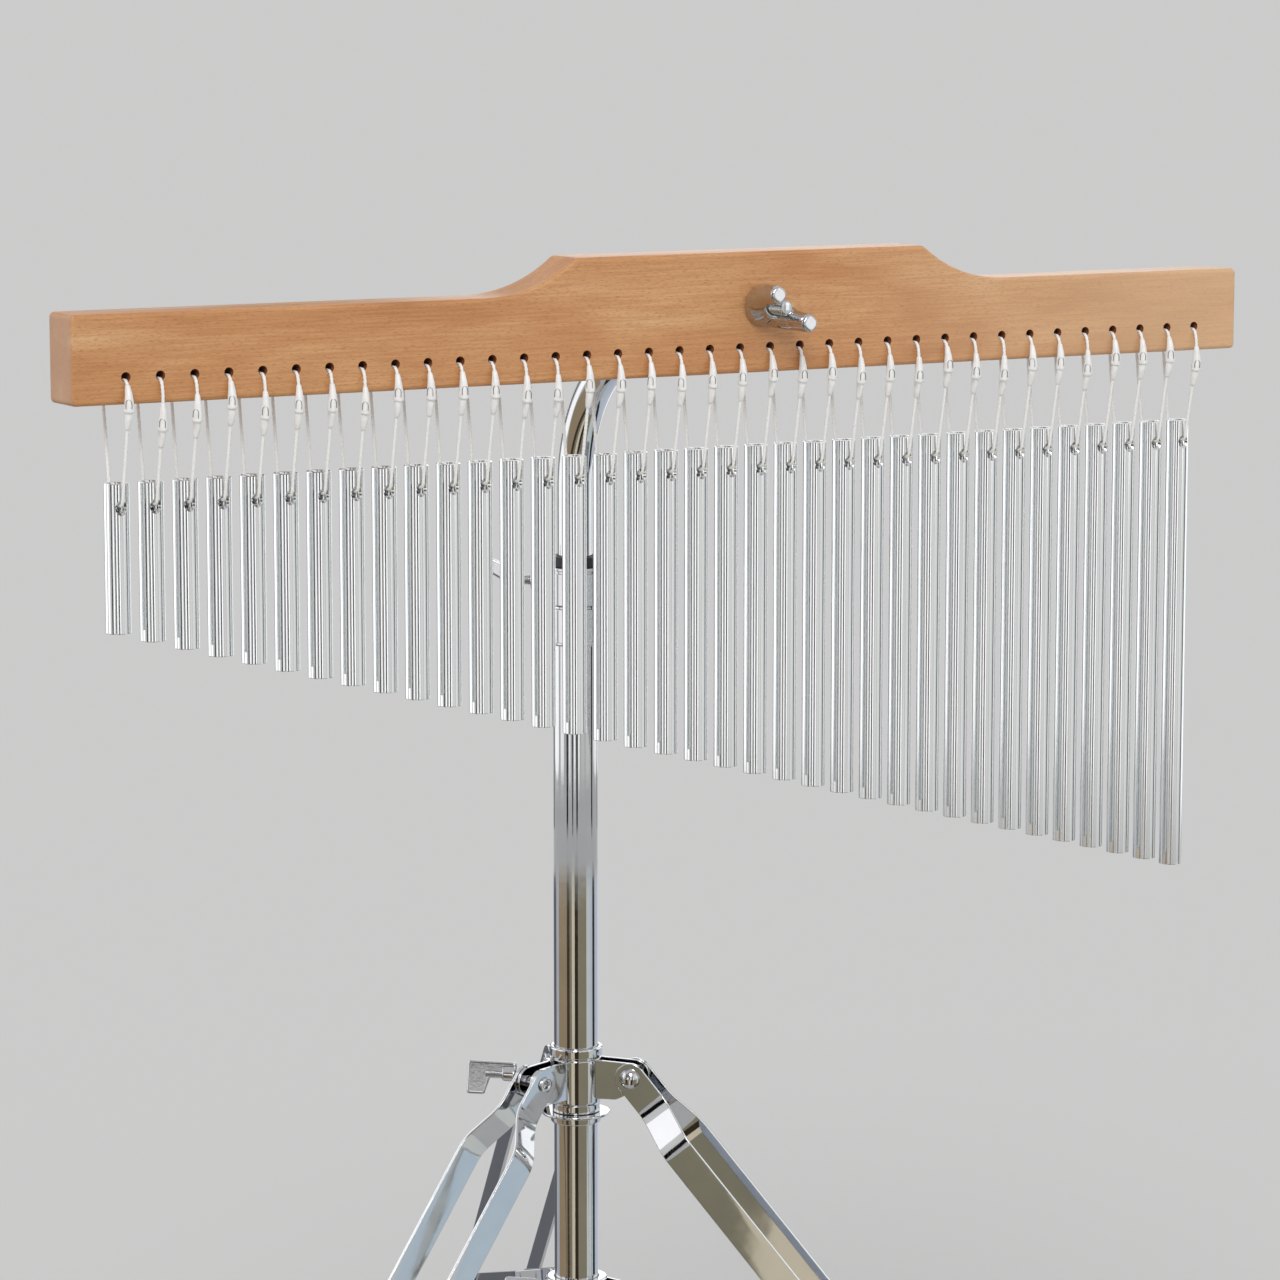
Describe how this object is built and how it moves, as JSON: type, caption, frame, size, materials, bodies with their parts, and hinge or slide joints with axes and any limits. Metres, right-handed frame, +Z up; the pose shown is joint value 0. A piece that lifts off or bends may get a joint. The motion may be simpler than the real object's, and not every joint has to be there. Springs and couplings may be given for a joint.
{
  "type": "percussion wind chime",
  "caption": "Hanging metal bar chimes in a graded row under a wooden bar, on a bent tube and a folding tripod floor stand.",
  "frame": {"origin": "on the floor, under the middle of the bounding box of the whole object", "axes": "+Z up; +X along the bar from the shortest chime to the longest; -Y towards the player, so the bar hangs on the -Y side of the pole"},
  "size_m": [0.705, 0.6356, 0.884],
  "materials": {
    "beech": "satin lacquered light beech, fine straight grain",
    "aluminium": "polished",
    "chrome": "bright mirror plating",
    "nylon": "moulded black nylon",
    "rubber": "matte black rubber",
    "cord": "white twisted synthetic cord",
    "cord_lock": "moulded white plastic"
  },
  "bodies": {
    "hub": {"leg_hub": "chrome", "hub_ring": "chrome"},
    "right_leg": {"right_leg": "chrome", "right_foot": "rubber"},
    "back_leg": {"back_leg": "chrome", "back_foot": "rubber"},
    "left_leg": {"left_leg": "chrome", "left_foot": "rubber"},
    "brace_collar": {"brace_collar": "chrome"},
    "right_brace": {"right_brace": "chrome"},
    "back_brace": {"back_brace": "chrome"},
    "left_brace": {"left_brace": "chrome"},
    "pole": {"pole": "chrome", "pole_sleeve": "chrome", "height_clamp": "chrome", "tube_bushing": "nylon"},
    "gooseneck": {"gooseneck_tube": "chrome", "mount_stud": "chrome", "stud_washer": "rubber"},
    "bar": {"chime_bar": "beech"},
    "bar_wing_nut": {"bar_wing_nut": "chrome"},
    "clamp_wing_bolt": {"clamp_wing_bolt": "chrome"},
    "hub_wing_bolt": {"hub_wing_bolt": "chrome"},
    "collar_wing_bolt": {"collar_wing_bolt": "chrome"},
    "chime_01": {"chime_01": "aluminium"},
    "chime_02": {"chime_02": "aluminium"},
    "chime_03": {"chime_03": "aluminium"},
    "chime_04": {"chime_04": "aluminium"},
    "chime_05": {"chime_05": "aluminium"},
    "chime_06": {"chime_06": "aluminium"},
    "chime_07": {"chime_07": "aluminium"},
    "chime_08": {"chime_08": "aluminium"},
    "chime_09": {"chime_09": "aluminium"},
    "chime_10": {"chime_10": "aluminium"},
    "chime_11": {"chime_11": "aluminium"},
    "chime_12": {"chime_12": "aluminium"},
    "chime_13": {"chime_13": "aluminium"},
    "chime_14": {"chime_14": "aluminium"},
    "chime_15": {"chime_15": "aluminium"},
    "chime_16": {"chime_16": "aluminium"},
    "chime_17": {"chime_17": "aluminium"},
    "chime_18": {"chime_18": "aluminium"},
    "chime_19": {"chime_19": "aluminium"},
    "chime_20": {"chime_20": "aluminium"},
    "chime_21": {"chime_21": "aluminium"},
    "chime_22": {"chime_22": "aluminium"},
    "chime_23": {"chime_23": "aluminium"},
    "chime_24": {"chime_24": "aluminium"},
    "chime_25": {"chime_25": "aluminium"},
    "chime_26": {"chime_26": "aluminium"},
    "chime_27": {"chime_27": "aluminium"},
    "chime_28": {"chime_28": "aluminium"},
    "chime_29": {"chime_29": "aluminium"},
    "chime_30": {"chime_30": "aluminium"},
    "chime_31": {"chime_31": "aluminium"},
    "chime_32": {"chime_32": "aluminium"},
    "chime_33": {"chime_33": "aluminium"},
    "chime_34": {"chime_34": "aluminium"},
    "chime_35": {"chime_35": "aluminium"},
    "chime_36": {"chime_36": "aluminium"}
  },
  "joints": [
    {"name": "right_leg_fold", "type": "hinge", "parent": "hub", "child": "right_leg", "pos_m": [0.06591, -0.0713, 0.39752], "axis": [0.6884, 0.7254, 0], "range_deg": [0, 34]},
    {"name": "back_leg_fold", "type": "hinge", "parent": "hub", "child": "back_leg", "pos_m": [0.04919, -0.01483, 0.39752], "axis": [-0.9724, 0.2334, 0], "range_deg": [0, 34]},
    {"name": "left_leg_fold", "type": "hinge", "parent": "hub", "child": "left_leg", "pos_m": [0.00865, -0.05755, 0.39752], "axis": [0.284, -0.9588, 0], "range_deg": [0, 34]},
    {"name": "collar_slide", "type": "slide", "parent": "hub", "child": "brace_collar", "axis": [0, 0, 1], "range_m": [0, 0.06]},
    {"name": "right_brace_fold", "type": "hinge", "parent": "brace_collar", "child": "right_brace", "pos_m": [0.06301, -0.06855, 0.26552], "axis": [0.6884, 0.7254, 0], "range_deg": [0, 64]},
    {"name": "back_brace_fold", "type": "hinge", "parent": "brace_collar", "child": "back_brace", "pos_m": [0.04825, -0.01872, 0.26552], "axis": [-0.9724, 0.2334, 0], "range_deg": [0, 64]},
    {"name": "left_brace_fold", "type": "hinge", "parent": "brace_collar", "child": "left_brace", "pos_m": [0.01248, -0.05642, 0.26552], "axis": [0.284, -0.9588, 0], "range_deg": [0, 64]},
    {"name": "pole_turn", "type": "hinge", "parent": "hub", "child": "pole", "pos_m": [0.04125, -0.0479, 0.39752], "axis": [0, 0, 1], "continuous": true},
    {"name": "tube_height", "type": "slide", "parent": "pole", "child": "gooseneck", "axis": [0, 0, 1], "range_m": [-0.036, 0.15]},
    {"name": "bar_tilt", "type": "hinge", "parent": "gooseneck", "child": "bar", "pos_m": [0.04125, -0.23789, 0.85552], "axis": [0, -1, 0], "range_deg": [-15, 15]},
    {"name": "wing_nut_turn", "type": "hinge", "parent": "gooseneck", "child": "bar_wing_nut", "pos_m": [0.04125, -0.25789, 0.85552], "axis": [0, -1, 0], "continuous": true},
    {"name": "clamp_bolt_turn", "type": "hinge", "parent": "pole", "child": "clamp_wing_bolt", "pos_m": [0.02312, -0.03069, 0.68502], "axis": [-0.7254, 0.6884, 0], "continuous": true},
    {"name": "hub_bolt_turn", "type": "hinge", "parent": "hub", "child": "hub_wing_bolt", "pos_m": [0.02312, -0.03069, 0.39432], "axis": [-0.7254, 0.6884, 0], "continuous": true},
    {"name": "collar_bolt_turn", "type": "hinge", "parent": "brace_collar", "child": "collar_wing_bolt", "pos_m": [0.02312, -0.03069, 0.26552], "axis": [-0.7254, 0.6884, 0], "continuous": true},
    {"name": "chime_01_swing", "type": "hinge", "parent": "bar", "child": "chime_01", "pos_m": [-0.32375, -0.23789, 0.83352], "axis": [-1, 0, 0], "range_deg": [-4, 20]},
    {"name": "chime_02_swing", "type": "hinge", "parent": "bar", "child": "chime_02", "pos_m": [-0.30525, -0.23789, 0.83352], "axis": [-1, 0, 0], "range_deg": [-4, 20]},
    {"name": "chime_03_swing", "type": "hinge", "parent": "bar", "child": "chime_03", "pos_m": [-0.28675, -0.23789, 0.83352], "axis": [-1, 0, 0], "range_deg": [-4, 20]},
    {"name": "chime_04_swing", "type": "hinge", "parent": "bar", "child": "chime_04", "pos_m": [-0.26825, -0.23789, 0.83352], "axis": [-1, 0, 0], "range_deg": [-4, 20]},
    {"name": "chime_05_swing", "type": "hinge", "parent": "bar", "child": "chime_05", "pos_m": [-0.24975, -0.23789, 0.83352], "axis": [-1, 0, 0], "range_deg": [-4, 20]},
    {"name": "chime_06_swing", "type": "hinge", "parent": "bar", "child": "chime_06", "pos_m": [-0.23125, -0.23789, 0.83352], "axis": [-1, 0, 0], "range_deg": [-4, 20]},
    {"name": "chime_07_swing", "type": "hinge", "parent": "bar", "child": "chime_07", "pos_m": [-0.21275, -0.23789, 0.83352], "axis": [-1, 0, 0], "range_deg": [-4, 20]},
    {"name": "chime_08_swing", "type": "hinge", "parent": "bar", "child": "chime_08", "pos_m": [-0.19425, -0.23789, 0.83352], "axis": [-1, 0, 0], "range_deg": [-4, 20]},
    {"name": "chime_09_swing", "type": "hinge", "parent": "bar", "child": "chime_09", "pos_m": [-0.17575, -0.23789, 0.83352], "axis": [-1, 0, 0], "range_deg": [-4, 20]},
    {"name": "chime_10_swing", "type": "hinge", "parent": "bar", "child": "chime_10", "pos_m": [-0.15725, -0.23789, 0.83352], "axis": [-1, 0, 0], "range_deg": [-4, 20]},
    {"name": "chime_11_swing", "type": "hinge", "parent": "bar", "child": "chime_11", "pos_m": [-0.13875, -0.23789, 0.83352], "axis": [-1, 0, 0], "range_deg": [-4, 20]},
    {"name": "chime_12_swing", "type": "hinge", "parent": "bar", "child": "chime_12", "pos_m": [-0.12025, -0.23789, 0.83352], "axis": [-1, 0, 0], "range_deg": [-4, 20]},
    {"name": "chime_13_swing", "type": "hinge", "parent": "bar", "child": "chime_13", "pos_m": [-0.10175, -0.23789, 0.83352], "axis": [-1, 0, 0], "range_deg": [-4, 20]},
    {"name": "chime_14_swing", "type": "hinge", "parent": "bar", "child": "chime_14", "pos_m": [-0.08325, -0.23789, 0.83352], "axis": [-1, 0, 0], "range_deg": [-4, 20]},
    {"name": "chime_15_swing", "type": "hinge", "parent": "bar", "child": "chime_15", "pos_m": [-0.06475, -0.23789, 0.83352], "axis": [-1, 0, 0], "range_deg": [-4, 20]},
    {"name": "chime_16_swing", "type": "hinge", "parent": "bar", "child": "chime_16", "pos_m": [-0.04625, -0.23789, 0.83352], "axis": [-1, 0, 0], "range_deg": [-4, 20]},
    {"name": "chime_17_swing", "type": "hinge", "parent": "bar", "child": "chime_17", "pos_m": [-0.02775, -0.23789, 0.83352], "axis": [-1, 0, 0], "range_deg": [-4, 20]},
    {"name": "chime_18_swing", "type": "hinge", "parent": "bar", "child": "chime_18", "pos_m": [-0.00925, -0.23789, 0.83352], "axis": [-1, 0, 0], "range_deg": [-4, 20]},
    {"name": "chime_19_swing", "type": "hinge", "parent": "bar", "child": "chime_19", "pos_m": [0.00925, -0.23789, 0.83352], "axis": [-1, 0, 0], "range_deg": [-4, 20]},
    {"name": "chime_20_swing", "type": "hinge", "parent": "bar", "child": "chime_20", "pos_m": [0.02775, -0.23789, 0.83352], "axis": [-1, 0, 0], "range_deg": [-4, 20]},
    {"name": "chime_21_swing", "type": "hinge", "parent": "bar", "child": "chime_21", "pos_m": [0.04625, -0.23789, 0.83352], "axis": [-1, 0, 0], "range_deg": [-4, 20]},
    {"name": "chime_22_swing", "type": "hinge", "parent": "bar", "child": "chime_22", "pos_m": [0.06475, -0.23789, 0.83352], "axis": [-1, 0, 0], "range_deg": [-4, 20]},
    {"name": "chime_23_swing", "type": "hinge", "parent": "bar", "child": "chime_23", "pos_m": [0.08325, -0.23789, 0.83352], "axis": [-1, 0, 0], "range_deg": [-4, 20]},
    {"name": "chime_24_swing", "type": "hinge", "parent": "bar", "child": "chime_24", "pos_m": [0.10175, -0.23789, 0.83352], "axis": [-1, 0, 0], "range_deg": [-4, 20]},
    {"name": "chime_25_swing", "type": "hinge", "parent": "bar", "child": "chime_25", "pos_m": [0.12025, -0.23789, 0.83352], "axis": [-1, 0, 0], "range_deg": [-4, 20]},
    {"name": "chime_26_swing", "type": "hinge", "parent": "bar", "child": "chime_26", "pos_m": [0.13875, -0.23789, 0.83352], "axis": [-1, 0, 0], "range_deg": [-4, 20]},
    {"name": "chime_27_swing", "type": "hinge", "parent": "bar", "child": "chime_27", "pos_m": [0.15725, -0.23789, 0.83352], "axis": [-1, 0, 0], "range_deg": [-4, 20]},
    {"name": "chime_28_swing", "type": "hinge", "parent": "bar", "child": "chime_28", "pos_m": [0.17575, -0.23789, 0.83352], "axis": [-1, 0, 0], "range_deg": [-4, 20]},
    {"name": "chime_29_swing", "type": "hinge", "parent": "bar", "child": "chime_29", "pos_m": [0.19425, -0.23789, 0.83352], "axis": [-1, 0, 0], "range_deg": [-4, 20]},
    {"name": "chime_30_swing", "type": "hinge", "parent": "bar", "child": "chime_30", "pos_m": [0.21275, -0.23789, 0.83352], "axis": [-1, 0, 0], "range_deg": [-4, 20]},
    {"name": "chime_31_swing", "type": "hinge", "parent": "bar", "child": "chime_31", "pos_m": [0.23125, -0.23789, 0.83352], "axis": [-1, 0, 0], "range_deg": [-4, 20]},
    {"name": "chime_32_swing", "type": "hinge", "parent": "bar", "child": "chime_32", "pos_m": [0.24975, -0.23789, 0.83352], "axis": [-1, 0, 0], "range_deg": [-4, 20]},
    {"name": "chime_33_swing", "type": "hinge", "parent": "bar", "child": "chime_33", "pos_m": [0.26825, -0.23789, 0.83352], "axis": [-1, 0, 0], "range_deg": [-4, 20]},
    {"name": "chime_34_swing", "type": "hinge", "parent": "bar", "child": "chime_34", "pos_m": [0.28675, -0.23789, 0.83352], "axis": [-1, 0, 0], "range_deg": [-4, 20]},
    {"name": "chime_35_swing", "type": "hinge", "parent": "bar", "child": "chime_35", "pos_m": [0.30525, -0.23789, 0.83352], "axis": [-1, 0, 0], "range_deg": [-4, 20]},
    {"name": "chime_36_swing", "type": "hinge", "parent": "bar", "child": "chime_36", "pos_m": [0.32375, -0.23789, 0.83352], "axis": [-1, 0, 0], "range_deg": [-4, 20]}
  ],
  "couplings": [
    {"joint": "back_leg_fold", "follows": "right_leg_fold", "ratio": 1},
    {"joint": "left_leg_fold", "follows": "right_leg_fold", "ratio": 1},
    {"joint": "collar_slide", "follows": "right_leg_fold", "m_per_rad": 0.09925},
    {"joint": "right_brace_fold", "follows": "right_leg_fold", "ratio": 1.8694},
    {"joint": "back_brace_fold", "follows": "right_leg_fold", "ratio": 1.8694},
    {"joint": "left_brace_fold", "follows": "right_leg_fold", "ratio": 1.8694}
  ]
}
